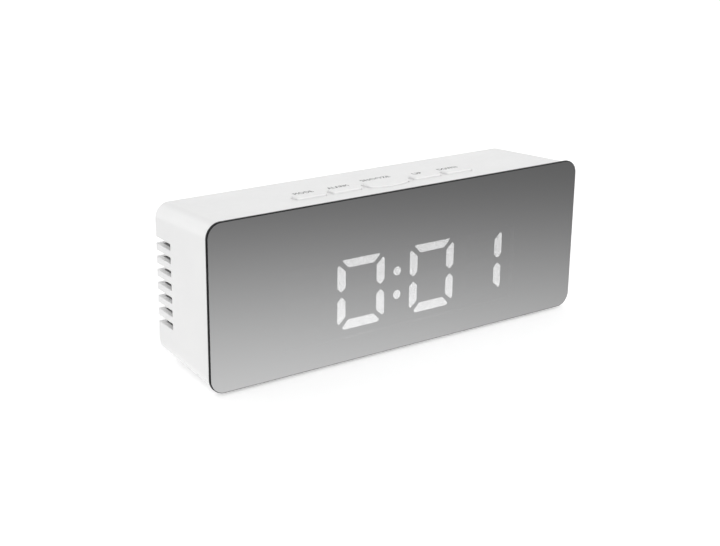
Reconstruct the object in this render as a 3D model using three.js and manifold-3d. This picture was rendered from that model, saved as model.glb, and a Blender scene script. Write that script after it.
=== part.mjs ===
// A desk alarm clock with a half-mirror front, modelled as the separate pieces it comes apart into.
// Units are millimetres. +Z is up, +X is to the right of someone reading the clock, +Y runs from
// the mirror towards the back. Every piece is placed from the centre of the mirror's front face,
// and the whole assembly is then lifted onto its feet and centred on its depth.

import * as THREE from "three";
import { mergeVertices } from "three/addons/utils/BufferGeometryUtils.js";
import Module from "manifold-3d";

const wasm = await Module();
wasm.setup();

// ---- Driving dimensions ----------------------------------------------------------------------

const PANEL = { width: 160, height: 58, thick: 1.2, radius: 5.3 };
const DEPTH = 39.4; // mirror's front face to the housing's back face
const GROUND_GAP = 0.8; // mirror's lower edge to the surface the clock stands on
const GAP = 0.3; // clearance between pieces that lie on each other
const OVERCUT = 1; // how far a cutter runs past the face it cuts

const HOUSING = { front: 1.5, wall: 2, radius: 5.1, frontInset: 0.5, backInset: 2.3, backRound: 0.9 };
const TAPE = { thick: 0.2, gap: 0.05, inset: 1.6, band: 5 };
const FRAME = { thick: 2, fit: 0.4, collarWall: 1.5, collarBack: 10, windowMargin: 2.6 };

const VENT = { count: 7, pitch: 4.68, height: 2.3, sideStart: 27.9, backReach: 11 };

const BUTTONS = {
  line: 13.75, // depth of the row's centre line
  width: 12,
  snoozeWidth: 17,
  endDepth: 4.2,
  snoozeEndDepth: 5.2,
  snoozeBulge: 2.15, // how far each long side of the snooze button bows out
  holeGap: 0.25,
  top: 28.8,
  flange: { grow: 1, low: 24.2, high: 25.4 },
  stemWidth: 5,
};
const BUTTON_ROW = [
  { name: "mode", x: -32.4 },
  { name: "alarm", x: -17.7 },
  { name: "snooze", x: 0 },
  { name: "up", x: 17.7 },
  { name: "down", x: 32.4 },
];
const SWITCH = { side: 6, low: 19.1, high: 22.6, plunger: 1.7, plungerLow: 22.2, plungerHigh: 24 };
const KEY_BOARD = { halfWidth: 41, front: 9, back: 23.8, low: 17.4, high: 19, screwX: 25, screwY: 20.8 };

const DISPLAY = { z: -6.8, face: 6, innerDigit: 15.77, outerDigit: 39.07 };
const DIGIT = { halfWidth: 10.15, halfHeight: 13, stroke: 3.5 };
const COLON = { radius: 1.65, offset: 4.4 };
const FILM = { front: 4.3, thick: 0.3 };
const REFLECTOR = { halfWidth: 54, halfHeight: 17, front: 4.8, back: 12.2, rim: 1.2, pocket: 10.8 };
const GUIDE = { gap: 0.15, baseFront: 11, baseBack: 11.8 };
const MAIN_BOARD = { halfWidth: 61, low: -24.5, high: 12.5, front: 12.4, back: 14 };
const LED = { long: 3, short: 1.6, front: 11.95 };

const CELL = { radius: 5.25, length: 44.5, nubRadius: 1.9, nub: 0.8, pitch: 11.3, depth: 31.2 };
const BAY = { halfWidth: 26.5, halfHeight: 17.3, floor: 25.6, wall: 1.4 };
const DOOR = { halfWidth: 27.4, halfHeight: 18.2, thick: 1.6, radius: 1.5, seatGap: 0.3 };
const DOOR_TAB = { x: 18, width: 6, drop: 1.4, front: 36.6, back: 37.9, gap: 0.8 };
const LATCH = { width: 9, wall: 1, legLow: 17, tabLow: 19.8, front: 32.6, tabBack: 38.9, room: 22 };
const CONTACT = { thick: 0.5, half: 4.5, wire: 0.35, turns: 4 };

const CASE_SCREW = { x: 68, z: 20, seat: 36.9, head: 2.6, headHigh: 1.8, shank: 1.3, length: 10 };
const SMALL_SCREW = { head: 2.1, headHigh: 1.3, shank: 0.85, length: 6 };
const POST = { radius: 3.25, back: 34.2, pilot: 1.45, pilotDepth: 9 };

const JACK = { x: 50, z: -14.75, width: 7.6, height: 2.9, front: 31.6, back: 37.2, wall: 0.3 };
const POWER_BOARD = { halfWidth: 8.5, front: 25, back: 36.9, thick: 1.2, screwX: 5.8, screwY: 27.6 };
const FOOT = { x: 58, frontY: 9, backY: 31, radius: 4.5 };

const CORNER_STEPS = 5;
const ROUND = 16; // sides on a small round piece

const HALF_HEIGHT = PANEL.height / 2;
const GROUND = -HALF_HEIGHT - GROUND_GAP;

// ---- Materials -------------------------------------------------------------------------------

const finish = (color, roughness, metalness = 0) =>
  new THREE.MeshStandardMaterial({ color, roughness, metalness });
const MATERIAL = {
  white: finish(0xeeeeee, 0.45),
  mirror: finish(0x8c8c8c, 0.04, 1),
  black: finish(0x1a1a1a, 0.5),
  film: finish(0x777777, 0.3),
  guide: finish(0xf4f4f0, 0.35),
  board: finish(0x1f5a34, 0.5),
  steel: finish(0xb9bcc0, 0.3, 1),
  jacket: finish(0x3c5f8a, 0.35),
  rubber: finish(0x3a3a3a, 0.9),
  red: finish(0xb02020, 0.45),
  grey: finish(0x9a9a9a, 0.5),
};

// ---- Solids: making, joining and cutting -----------------------------------------------------

function solidOf(geometry) {
  const loose = geometry.index ? geometry.toNonIndexed() : geometry;
  const bare = new THREE.BufferGeometry();
  bare.setAttribute("position", loose.getAttribute("position"));
  const merged = mergeVertices(bare, 1e-4);
  const mesh = new wasm.Mesh({
    numProp: 3,
    vertProperties: merged.attributes.position.array,
    triVerts: new Uint32Array(merged.index.array),
  });
  return new wasm.Manifold(mesh);
}

function geometryOf(solid) {
  const mesh = solid.getMesh();
  const geometry = new THREE.BufferGeometry();
  geometry.setAttribute("position", new THREE.BufferAttribute(mesh.vertProperties, 3));
  geometry.setIndex(new THREE.BufferAttribute(mesh.triVerts, 1));
  geometry.computeVertexNormals();
  return geometry;
}

const joined = (solids) => solids.reduce((whole, next) => whole.add(next));
const cut = (solid, cutters) => cutters.reduce((rest, cutter) => rest.subtract(cutter), solid);

function box(low, high) {
  const size = high.map((value, i) => value - low[i]);
  const middle = high.map((value, i) => (value + low[i]) / 2);
  return solidOf(new THREE.BoxGeometry(...size).translate(...middle));
}

// A round bar along one axis; centre holds the bar's place on the other two axes, in X, Y, Z order.
function rod(axis, centre, radius, from, to, sides = ROUND, endRadius = radius) {
  const bar = new THREE.CylinderGeometry(endRadius, radius, to - from, sides);
  const middle = (from + to) / 2;
  const [a, b] = centre;
  if (axis === "x") bar.rotateZ(-Math.PI / 2).translate(middle, a, b);
  if (axis === "y") bar.translate(a, middle, b);
  if (axis === "z") bar.rotateX(Math.PI / 2).translate(a, b, middle);
  return solidOf(bar);
}

function shapeOf(points) {
  return new THREE.Shape(points.map(([x, y]) => new THREE.Vector2(x, y)));
}

// A flat outline given in X and Z, as thick as the stretch of depth from one Y to another.
function slab(shape, from, to, steps = CORNER_STEPS) {
  const options = { depth: to - from, bevelEnabled: false, curveSegments: steps };
  return solidOf(new THREE.ExtrudeGeometry(shape, options).rotateX(Math.PI / 2).translate(0, to, 0));
}

// A flat outline given in X and Y, raised from one height to another.
function plate(shape, from, to) {
  const options = { depth: to - from, bevelEnabled: false, curveSegments: CORNER_STEPS };
  return solidOf(new THREE.ExtrudeGeometry(shape, options).translate(0, 0, from));
}

function roundedOutline(halfWidth, halfHeight, radius, steps = CORNER_STEPS) {
  const corners = [
    [halfWidth - radius, halfHeight - radius],
    [radius - halfWidth, halfHeight - radius],
    [radius - halfWidth, radius - halfHeight],
    [halfWidth - radius, radius - halfHeight],
  ];
  return corners.flatMap(([x, z], corner) =>
    Array.from({ length: steps + 1 }, (_, step) => {
      const angle = (corner + step / steps) * (Math.PI / 2);
      return [x + radius * Math.cos(angle), z + radius * Math.sin(angle)];
    }),
  );
}

function roundedShape(halfWidth, halfHeight, radius, x = 0, z = 0) {
  return shapeOf(roundedOutline(halfWidth, halfHeight, radius).map(([a, b]) => [a + x, b + z]));
}

// A closed skin through rings of equally many points, each ring counter-clockwise seen from the front.
function loft(rings) {
  const triangles = [];
  const push = (...corners) => corners.forEach((corner) => triangles.push(...corner));
  const first = rings[0];
  const last = rings[rings.length - 1];
  first.forEach((_, j) => {
    const k = (j + 1) % first.length;
    for (let i = 0; i + 1 < rings.length; i += 1) {
      const [front, back] = [rings[i], rings[i + 1]];
      push(front[j], back[j], front[k]);
      push(front[k], back[j], back[k]);
    }
    if (j > 0 && k > 0) {
      push(first[0], first[j], first[k]);
      push(last[0], last[k], last[j]);
    }
  });
  const geometry = new THREE.BufferGeometry();
  geometry.setAttribute("position", new THREE.Float32BufferAttribute(triangles, 3));
  return solidOf(geometry);
}

// A round tube along a smooth curve through the given points.
function tube(points, radius, steps, sides = 8) {
  const path = new THREE.CatmullRomCurve3(points.map((point) => new THREE.Vector3(...point)));
  const ring = Array.from({ length: sides }, (_, i) => {
    const angle = (i / sides) * Math.PI * 2;
    return [radius * Math.cos(angle), radius * Math.sin(angle)];
  });
  const options = { steps, extrudePath: path, bevelEnabled: false };
  return solidOf(new THREE.ExtrudeGeometry(shapeOf(ring), options));
}

const clock = new THREE.Group();
clock.position.set(0, -DEPTH / 2, -GROUND);

function add(name, solid, material) {
  const mesh = new THREE.Mesh(geometryOf(solid), material);
  mesh.name = name;
  clock.add(mesh);
}

// ---- Housing: tapered walls, closed back, battery bay, bosses ---------------------------------

function caseInset(y) {
  const share = (y - HOUSING.front) / (DEPTH - HOUSING.front);
  return HOUSING.frontInset + (HOUSING.backInset - HOUSING.frontInset) * share;
}

function caseRing(y, inward = 0) {
  const inset = caseInset(y) + inward;
  const radius = Math.max(HOUSING.radius - inward, 1);
  const outline = roundedOutline(PANEL.width / 2 - inset, HALF_HEIGHT - inset, radius);
  return outline.map(([x, z]) => [x, y, z]);
}

function housingShell() {
  const start = DEPTH - HOUSING.backRound;
  const rounding = Array.from({ length: 5 }, (_, step) => {
    const angle = (step / 4) * (Math.PI / 2);
    const inward = HOUSING.backRound * (1 - Math.cos(angle));
    return caseRing(start + HOUSING.backRound * Math.sin(angle), inward);
  });
  const outside = loft([caseRing(HOUSING.front), ...rounding]);
  const inside = loft([
    caseRing(HOUSING.front - OVERCUT, HOUSING.wall),
    caseRing(DEPTH - HOUSING.wall, HOUSING.wall),
  ]);
  return outside.subtract(inside);
}

// Each vent slot starts in a side wall, runs round the back corner and ends in the back wall.
function ventCutters() {
  const outer = PANEL.width / 2 + OVERCUT;
  const backSkin = DEPTH - HOUSING.wall - OVERCUT / 2;
  const sideSkin = PANEL.width / 2 - HOUSING.backInset - HOUSING.wall - OVERCUT / 2;
  const cutters = [];
  for (let row = 0; row < VENT.count; row += 1) {
    const z = (row - (VENT.count - 1) / 2) * VENT.pitch;
    const [low, high] = [z - VENT.height / 2, z + VENT.height / 2];
    const inner = PANEL.width / 2 - HOUSING.backInset - VENT.backReach;
    for (const side of [-1, 1]) {
      const span = (near, far) => (side > 0 ? [near, far] : [-far, -near]);
      const [x0, x1] = span(sideSkin, outer);
      const [x2, x3] = span(inner, outer);
      cutters.push(box([x0, VENT.sideStart, low], [x1, DEPTH + OVERCUT, high]));
      cutters.push(box([x2, backSkin, low], [x3, DEPTH + OVERCUT, high]));
    }
  }
  return cutters;
}

const doorSeat = DEPTH - DOOR.thick - DOOR.seatGap;

function bayWalls() {
  const { halfWidth: w, halfHeight: h, floor, wall } = BAY;
  const rim = 2.7;
  const pocket = LATCH.width / 2 + GAP + 2;
  return [
    box([-w - wall, floor - wall, -h - wall], [w + wall, doorSeat, h + wall]),
    box([-w - rim, doorSeat - 2.2, -h - rim - 0.6], [w + rim, DEPTH - OVERCUT, h + rim + 0.6]),
    box([-pocket, LATCH.front - 1.8, h], [pocket, DEPTH - OVERCUT, LATCH.room + wall]),
  ];
}

function bayCutters() {
  const { halfWidth: w, halfHeight: h, floor } = BAY;
  const seat = roundedShape(DOOR.halfWidth + GAP, DOOR.halfHeight + GAP, DOOR.radius);
  const pocket = LATCH.width / 2 + 0.8;
  const tabRoom = DOOR_TAB.width / 2 + DOOR_TAB.gap;
  const tabFront = 35.7;
  const tabLow = -DOOR.halfHeight - DOOR_TAB.drop - DOOR_TAB.gap;
  const tabs = [-DOOR_TAB.x, DOOR_TAB.x].map((x) =>
    box([x - tabRoom, tabFront, tabLow], [x + tabRoom, DOOR_TAB.back + GAP, -h + OVERCUT]),
  );
  return [
    box([-w, floor, -h], [w, DEPTH + OVERCUT, h]),
    slab(seat, doorSeat, DEPTH + OVERCUT),
    box([-pocket, LATCH.front - 0.5, h - OVERCUT], [pocket, DEPTH + OVERCUT, LATCH.room]),
    ...tabs,
  ];
}

// Slots in the bay floor that the battery terminals' solder tabs pass through.
function terminalSlots() {
  return [-1, 1].map((side) => {
    const x = side * (BAY.halfWidth - 0.45);
    const z = -side * CELL.pitch;
    const front = BAY.floor - BAY.wall - OVERCUT;
    return box([x - 0.65, front, z - 1.9], [x + 0.65, BAY.floor + OVERCUT, z + 1.9]);
  });
}

const screwCorners = [-1, 1].flatMap((i) => [-1, 1].map((j) => [i * CASE_SCREW.x, j * CASE_SCREW.z]));

function caseScrewBosses() {
  return screwCorners.map((at) => rod("y", at, 4.3, POST.back + GAP, DEPTH - OVERCUT));
}

function caseScrewHoles() {
  const { seat, head, shank } = CASE_SCREW;
  return screwCorners.flatMap((at) => [
    rod("y", at, head + GAP, seat - 0.1, DEPTH + OVERCUT),
    rod("y", at, shank + GAP, POST.back - OVERCUT, seat),
  ]);
}

const keyScrews = [-1, 1].map((side) => [side * KEY_BOARD.screwX, KEY_BOARD.screwY]);
const powerScrews = [-1, 1].map((side) => [JACK.x + side * POWER_BOARD.screwX, POWER_BOARD.screwY]);
const powerBoardTop = JACK.z - JACK.height / 2 - 0.15;
const powerBoardLow = powerBoardTop - POWER_BOARD.thick;

function boardBosses() {
  const pilot = SMALL_SCREW.shank + 0.2;
  const ceiling = HALF_HEIGHT - caseInset(KEY_BOARD.screwY) - HOUSING.wall + 0.8;
  const floor = -HALF_HEIGHT + caseInset(POWER_BOARD.screwY) + HOUSING.wall - 0.8;
  const key = keyScrews.map((at) =>
    rod("z", at, 2.5, KEY_BOARD.high + 0.15, ceiling).subtract(
      rod("z", at, pilot, KEY_BOARD.high - OVERCUT, KEY_BOARD.high + SMALL_SCREW.length - 0.6),
    ),
  );
  const power = powerScrews.map((at) =>
    rod("z", at, 2.3, floor, powerBoardLow - 0.15).subtract(
      rod("z", at, pilot, powerBoardLow - SMALL_SCREW.length + 0.6, powerBoardLow + OVERCUT),
    ),
  );
  return [...key, ...power];
}

function jackCutters() {
  const mouth = roundedShape(4.4, 2, 0.8, JACK.x, JACK.z);
  const pocket = roundedShape(6.2, 4, 1.4, JACK.x, JACK.z);
  return [
    slab(mouth, DEPTH - HOUSING.wall - OVERCUT, DEPTH + OVERCUT),
    slab(pocket, DEPTH - 0.8, DEPTH + OVERCUT),
  ];
}

// A button's plan: straight ends, and for the snooze button long sides that bow outwards.
function buttonShape(button, grow = 0) {
  const snooze = button.name === "snooze";
  const halfWidth = (snooze ? BUTTONS.snoozeWidth : BUTTONS.width) / 2 + grow;
  const halfDepth = (snooze ? BUTTONS.snoozeEndDepth : BUTTONS.endDepth) / 2 + grow;
  const round = 0.8 + grow / 2;
  const outline = roundedOutline(halfWidth, halfDepth, round, 3);
  const bow = (x) => (snooze ? BUTTONS.snoozeBulge * (1 - (x / halfWidth) ** 2) : 0);
  const steps = snooze ? 8 : 1;
  const points = outline.flatMap((point, i) => {
    const next = outline[(i + 1) % outline.length];
    const longSide = Math.abs(next[0] - point[0]) > halfWidth;
    return Array.from({ length: longSide ? steps : 1 }, (_, step) => {
      const x = point[0] + ((next[0] - point[0]) * step) / steps;
      return [x, point[1]];
    });
  });
  return shapeOf(points.map(([x, y]) => [x + button.x, BUTTONS.line + y + Math.sign(y) * bow(x)]));
}

function housing() {
  const buttonHoles = BUTTON_ROW.map((button) =>
    plate(buttonShape(button, BUTTONS.holeGap), HALF_HEIGHT - 6, HALF_HEIGHT + OVERCUT),
  );
  const body = joined([housingShell(), ...bayWalls(), ...caseScrewBosses(), ...boardBosses()]);
  return cut(body, [
    ...ventCutters(),
    ...bayCutters(),
    ...terminalSlots(),
    ...caseScrewHoles(),
    ...jackCutters(),
    ...buttonHoles,
  ]);
}

// ---- Front: mirror, adhesive, frame -----------------------------------------------------------

function mirrorPanel() {
  const edge = 0.2;
  const ring = (y, inward) =>
    roundedOutline(PANEL.width / 2 - inward, HALF_HEIGHT - inward, PANEL.radius - inward, 8).map(
      ([x, z]) => [x, y, z],
    );
  return loft([ring(0, edge), ring(edge, 0), ring(PANEL.thick, 0)]);
}

function mirrorTape() {
  const low = PANEL.thick + TAPE.gap;
  const { inset, band, thick } = TAPE;
  const outer = roundedShape(PANEL.width / 2 - inset, HALF_HEIGHT - inset, PANEL.radius - inset);
  const inner = roundedShape(PANEL.width / 2 - inset - band, HALF_HEIGHT - inset - band, 1);
  return slab(outer, low, low + thick).subtract(slab(inner, low - OVERCUT, low + thick + OVERCUT));
}

const stakes = [-1, 1].flatMap((side) => [8.5, -20.8].map((z) => [side * 57.5, z]));

function frontFrame() {
  const front = HOUSING.front + 0.1;
  const back = front + FRAME.thick;
  const inset = caseInset(back) + HOUSING.wall + FRAME.fit;
  const { halfWidth, halfHeight } = REFLECTOR;
  const collar = GAP + FRAME.collarWall;
  const window = roundedShape(
    halfWidth - FRAME.windowMargin,
    halfHeight - FRAME.windowMargin,
    1.5,
    0,
    DISPLAY.z,
  );
  const at = (grow) => [
    [-halfWidth - grow, DISPLAY.z - halfHeight - grow],
    [halfWidth + grow, DISPLAY.z + halfHeight + grow],
  ];
  const collarBox = (grow, from, to) => {
    const [low, high] = at(grow);
    return box([low[0], from, low[1]], [high[0], to, high[1]]);
  };
  const base = slab(roundedShape(PANEL.width / 2 - inset, HALF_HEIGHT - inset, 2.4), front, back);
  const posts = screwCorners.map((place) =>
    rod("y", place, POST.radius, front + OVERCUT, POST.back).subtract(
      rod("y", place, POST.pilot, POST.back - POST.pilotDepth, POST.back + OVERCUT),
    ),
  );
  const pins = stakes.flatMap((place) => [
    rod("y", place, 2.2, front + OVERCUT, MAIN_BOARD.front - 0.2, 12),
    rod("y", place, 1.2, front + OVERCUT, MAIN_BOARD.back + 1, 12),
  ]);
  const ring = collarBox(collar, back - OVERCUT, FRAME.collarBack).subtract(
    collarBox(GAP, back, FRAME.collarBack + OVERCUT),
  );
  return joined([base, ring, ...posts, ...pins]).subtract(slab(window, 0, back + OVERCUT));
}

// ---- Display: film, reflector, light guides, board -------------------------------------------

const DIGITS = [
  { name: "hours_tens", x: -DISPLAY.outerDigit },
  { name: "hours_units", x: -DISPLAY.innerDigit },
  { name: "minutes_tens", x: DISPLAY.innerDigit },
  { name: "minutes_units", x: DISPLAY.outerDigit },
];

// Outlines of the seven strokes of a digit, centred on it: top, bottom, middle and four uprights.
function digitStrokes() {
  const { halfWidth: a, halfHeight: b, stroke: t } = DIGIT;
  const top = [
    [-7.1, b],
    [-7.8, b - 0.85],
    [-5.45, b - t],
    [5.45, b - t],
    [7.8, b - 0.85],
    [7.1, b],
  ];
  const upright = [
    [-a, b - 2.85],
    [-a, b - 10.5],
    [-a + t / 2, b - 12.1],
    [-a + t, b - 10.5],
    [-a + t, b - 4.6],
    [-a + 0.7, b - 2.15],
  ];
  const middle = [
    [-7.3, 0],
    [-5.65, -t / 2],
    [5.65, -t / 2],
    [7.3, 0],
    [5.65, t / 2],
    [-5.65, t / 2],
  ];
  const flip = (points, sx, sz) => {
    const turned = points.map(([x, z]) => [x * sx, z * sz]);
    return sx * sz < 0 ? turned.reverse() : turned;
  };
  return [
    top,
    flip(top, 1, -1),
    middle,
    upright,
    flip(upright, -1, 1),
    flip(upright, 1, -1),
    flip(upright, -1, -1),
  ];
}

// The same outline drawn in by a small gap on every side, keeping its centre.
function shrunk(points, gap) {
  const xs = points.map(([x]) => x);
  const zs = points.map(([, z]) => z);
  const [x0, x1] = [Math.min(...xs), Math.max(...xs)];
  const [z0, z1] = [Math.min(...zs), Math.max(...zs)];
  const [cx, cz] = [(x0 + x1) / 2, (z0 + z1) / 2];
  const [sx, sz] = [1 - (2 * gap) / (x1 - x0), 1 - (2 * gap) / (z1 - z0)];
  return points.map(([x, z]) => [cx + (x - cx) * sx, cz + (z - cz) * sz]);
}

const moved = (points, x) => points.map(([a, b]) => [a + x, b + DISPLAY.z]);
const colonDots = [-1, 1].map((side) => [0, DISPLAY.z + side * COLON.offset]);

function reflector() {
  const { halfWidth: w, halfHeight: h, front, back, rim, pocket } = REFLECTOR;
  const block = box([-w, front, DISPLAY.z - h], [w, back, DISPLAY.z + h]);
  const face = box(
    [-w + rim, front - OVERCUT, DISPLAY.z - h + rim],
    [w - rim, DISPLAY.face, DISPLAY.z + h - rim],
  );
  const holes = DIGITS.flatMap(({ x }) =>
    digitStrokes().map((stroke) => slab(shapeOf(moved(stroke, x)), front, back + OVERCUT)),
  );
  const wells = DIGITS.map(({ x }) =>
    box(
      [x - DIGIT.halfWidth - 0.7, pocket, DISPLAY.z - DIGIT.halfHeight - 0.7],
      [x + DIGIT.halfWidth + 0.7, back + OVERCUT, DISPLAY.z + DIGIT.halfHeight + 0.7],
    ),
  );
  const dots = colonDots.map((at) => rod("y", at, COLON.radius, front, back + OVERCUT, 16));
  const colonWell = box([-2.6, pocket, DISPLAY.z - 7.5], [2.6, back + OVERCUT, DISPLAY.z + 7.5]);
  return cut(block, [face, ...holes, ...wells, ...dots, colonWell]);
}

function lightGuide({ x }) {
  const strokes = digitStrokes().map((stroke) =>
    slab(shapeOf(moved(shrunk(stroke, GUIDE.gap), x)), DISPLAY.face + 0.05, GUIDE.baseFront + 0.4),
  );
  const { halfWidth: a, halfHeight: b } = DIGIT;
  const base = box(
    [x - a - 0.4, GUIDE.baseFront, DISPLAY.z - b - 0.4],
    [x + a + 0.4, GUIDE.baseBack, DISPLAY.z + b + 0.4],
  );
  return joined([base, ...strokes]);
}

function colonGuide() {
  const radius = COLON.radius - GUIDE.gap;
  const dots = colonDots.map((at) => rod("y", at, radius, DISPLAY.face + 0.05, GUIDE.baseFront + 0.4, 16));
  const base = box(
    [-2.3, GUIDE.baseFront, DISPLAY.z - 7.2],
    [2.3, GUIDE.baseBack, DISPLAY.z + 7.2],
  );
  return joined([base, ...dots]);
}

function mainBoard() {
  const { halfWidth: w, low, high, front, back } = MAIN_BOARD;
  const ledAt = (x, z, long, tall) =>
    box([x - long / 2, LED.front, z - tall / 2], [x + long / 2, front + 0.2, z + tall / 2]);
  const leds = DIGITS.flatMap(({ x }) =>
    digitStrokes().map((stroke) => {
      const middle = (k) => stroke.reduce((sum, point) => sum + point[k], 0) / stroke.length;
      const flat = Math.abs(middle(0)) < 1;
      const [long, tall] = flat ? [LED.long, LED.short] : [LED.short, LED.long];
      return ledAt(x + middle(0), DISPLAY.z + middle(1), long, tall);
    }),
  );
  const dots = colonDots.map(([x, z]) => ledAt(x, z, LED.short, LED.short));
  const holes = stakes.map((at) => rod("y", at, 1.5, front - OVERCUT, back + OVERCUT, 12));
  const board = box([-w, front, low], [w, back, high]);
  return cut(joined([board, ...leds, ...dots]), holes);
}

function buzzer() {
  const at = [-46, 2];
  const low = MAIN_BOARD.back + 0.2;
  const high = low + 8.4;
  return rod("y", at, 6, low, high, 24).subtract(rod("y", at, 1, high - 1.5, high + OVERCUT, 12));
}

// ---- Buttons, switches and their board --------------------------------------------------------

function buttonCap(button) {
  const { top, flange } = BUTTONS;
  const shoulder = 0.35;
  const body = plate(buttonShape(button), flange.low, top - shoulder);
  const crown = plate(buttonShape(button, -shoulder), flange.low, top);
  const skirt = plate(buttonShape(button, flange.grow), flange.low, flange.high);
  return joined([body, crown, skirt]);
}

function switchBody({ x }) {
  const half = SWITCH.side / 2;
  const { low, high } = SWITCH;
  const y = BUTTONS.line;
  const body = box([x - half, y - half, low], [x + half, y + half, high]);
  return body.subtract(rod("z", [x, y], SWITCH.plunger + 0.2, high - 1.2, high + OVERCUT));
}

const plunger = ({ x }) =>
  rod("z", [x, BUTTONS.line], SWITCH.plunger, SWITCH.plungerLow, SWITCH.plungerHigh, 16);

function keyBoard() {
  const { halfWidth: w, front, back, low, high } = KEY_BOARD;
  const holes = keyScrews.map((at) => rod("z", at, 1.2, low - OVERCUT, high + OVERCUT, 12));
  return cut(box([-w, front, low], [w, back, high]), holes);
}

// A screw along an axis: its head's underside sits at seat, and its shank runs the way dir says.
function screw(axis, at, seat, dir, size) {
  const span = (from, to) => (from < to ? [from, to] : [to, from]);
  const head = rod(axis, at, size.head, ...span(seat, seat - dir * size.headHigh), 14);
  const shank = rod(axis, at, size.shank, ...span(seat - dir * 0.2, seat + dir * size.length), 8);
  const tip = seat - dir * size.headHigh;
  const arm = size.head * 0.62;
  const slot = (a, b) => {
    const [low, high] = span(tip - dir, tip + dir * size.headHigh * 0.5);
    const [p, q] = at;
    if (axis === "y") return box([p - a, low, q - b], [p + a, high, q + b]);
    return box([p - a, q - b, low], [p + a, q + b, high]);
  };
  return cut(joined([head, shank]), [slot(arm, 0.35), slot(0.35, arm)]);
}

// ---- Batteries, contacts and door -------------------------------------------------------------

const cellRows = [
  { name: "battery_top", z: CELL.pitch, plus: -1 },
  { name: "battery_middle", z: 0, plus: 1 },
  { name: "battery_bottom", z: -CELL.pitch, plus: -1 },
];
const plateFace = BAY.halfWidth - 0.2 - CONTACT.thick; // where a contact plate's inner face is
const nubEnd = plateFace - GAP;

function cell({ z, plus }) {
  const at = [CELL.depth, z];
  const span = (near, far) => (plus > 0 ? [near, far] : [-far, -near]);
  const canEnd = nubEnd - CELL.nub;
  const can = rod("x", at, CELL.radius, ...span(nubEnd - CELL.length, canEnd), 24);
  const nub = rod("x", at, CELL.nubRadius, ...span(canEnd - 0.2, nubEnd), 16);
  return can.add(nub);
}

function contactPlate(side, low, high) {
  const span = (near, far) => (side > 0 ? [near, far] : [-far, -near]);
  const [x0, x1] = span(plateFace, plateFace + CONTACT.thick);
  const { half } = CONTACT;
  return box([x0, CELL.depth - half, low - half], [x1, CELL.depth + half, high + half]);
}

// A conical coil from a plate to a cell's flat end.
function contactSpring(side, z) {
  const from = plateFace + 0.1;
  const to = CELL.length - nubEnd + GAP + CONTACT.wire;
  const steps = CONTACT.turns * 8;
  const points = Array.from({ length: steps + 1 }, (_, i) => {
    const share = i / steps;
    const angle = share * CONTACT.turns * Math.PI * 2;
    const radius = 3.6 - 1.6 * share;
    const along = from + (to - from) * share;
    return [side * along, CELL.depth + radius * Math.cos(angle), z + radius * Math.sin(angle)];
  });
  return tube(points, CONTACT.wire, steps, 5);
}

function terminalTab(side, z) {
  const span = (near, far) => (side > 0 ? [near, far] : [-far, -near]);
  const [x0, x1] = span(plateFace, plateFace + CONTACT.thick);
  return box([x0, BAY.floor - BAY.wall - 3, z - 1.5], [x1, CELL.depth, z + 1.5]);
}

function batteryDoor() {
  const { halfWidth, halfHeight, thick, radius } = DOOR;
  const front = DEPTH - thick;
  const sheet = slab(roundedShape(halfWidth, halfHeight, radius), front, DEPTH);
  const tabs = [-DOOR_TAB.x, DOOR_TAB.x].map((x) =>
    box(
      [x - DOOR_TAB.width / 2, DOOR_TAB.front, -halfHeight - DOOR_TAB.drop],
      [x + DOOR_TAB.width / 2, DOOR_TAB.back, -halfHeight + 1.5],
    ),
  );
  const half = LATCH.width / 2;
  const { wall, legLow, tabLow, front: bend, tabBack } = LATCH;
  const latch = [
    box([-half, bend, legLow], [half, front + 0.4, legLow + wall]),
    box([-half, bend, legLow], [half, bend + wall, tabLow + wall]),
    box([-half, bend, tabLow], [half, tabBack, tabLow + wall]),
  ];
  const grips = [-1, 0, 1].map((row) =>
    box([-7, DEPTH - 0.4, 10 + row * 2.2 - 0.45], [7, DEPTH + OVERCUT, 10 + row * 2.2 + 0.45]),
  );
  return cut(joined([sheet, ...tabs, ...latch]), grips);
}

// ---- Power jack and wiring --------------------------------------------------------------------

function jackShell() {
  const { x, z, width, height, front, back, wall } = JACK;
  const outer = roundedShape(width / 2, height / 2, 0.7, x, z);
  const inner = roundedShape(width / 2 - wall, height / 2 - wall, 0.5, x, z);
  return slab(outer, front, back).subtract(slab(inner, front + wall, back + OVERCUT));
}

function jackTongue() {
  const { x, z, front, back } = JACK;
  const root = box([x - 3, front + 0.5, z - 0.95], [x + 3, front + 1.8, z + 0.95]);
  const tongue = box([x - 1.9, front + 0.5, z - 0.1], [x + 1.9, back - 1, z + 0.6]);
  return root.add(tongue);
}

function powerBoard() {
  const { halfWidth, front, back } = POWER_BOARD;
  const holes = powerScrews.map((at) =>
    rod("z", at, 1.2, powerBoardLow - OVERCUT, powerBoardTop + OVERCUT, 12),
  );
  const board = box([JACK.x - halfWidth, front, powerBoardLow], [JACK.x + halfWidth, back, powerBoardTop]);
  return cut(board, holes);
}

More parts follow.
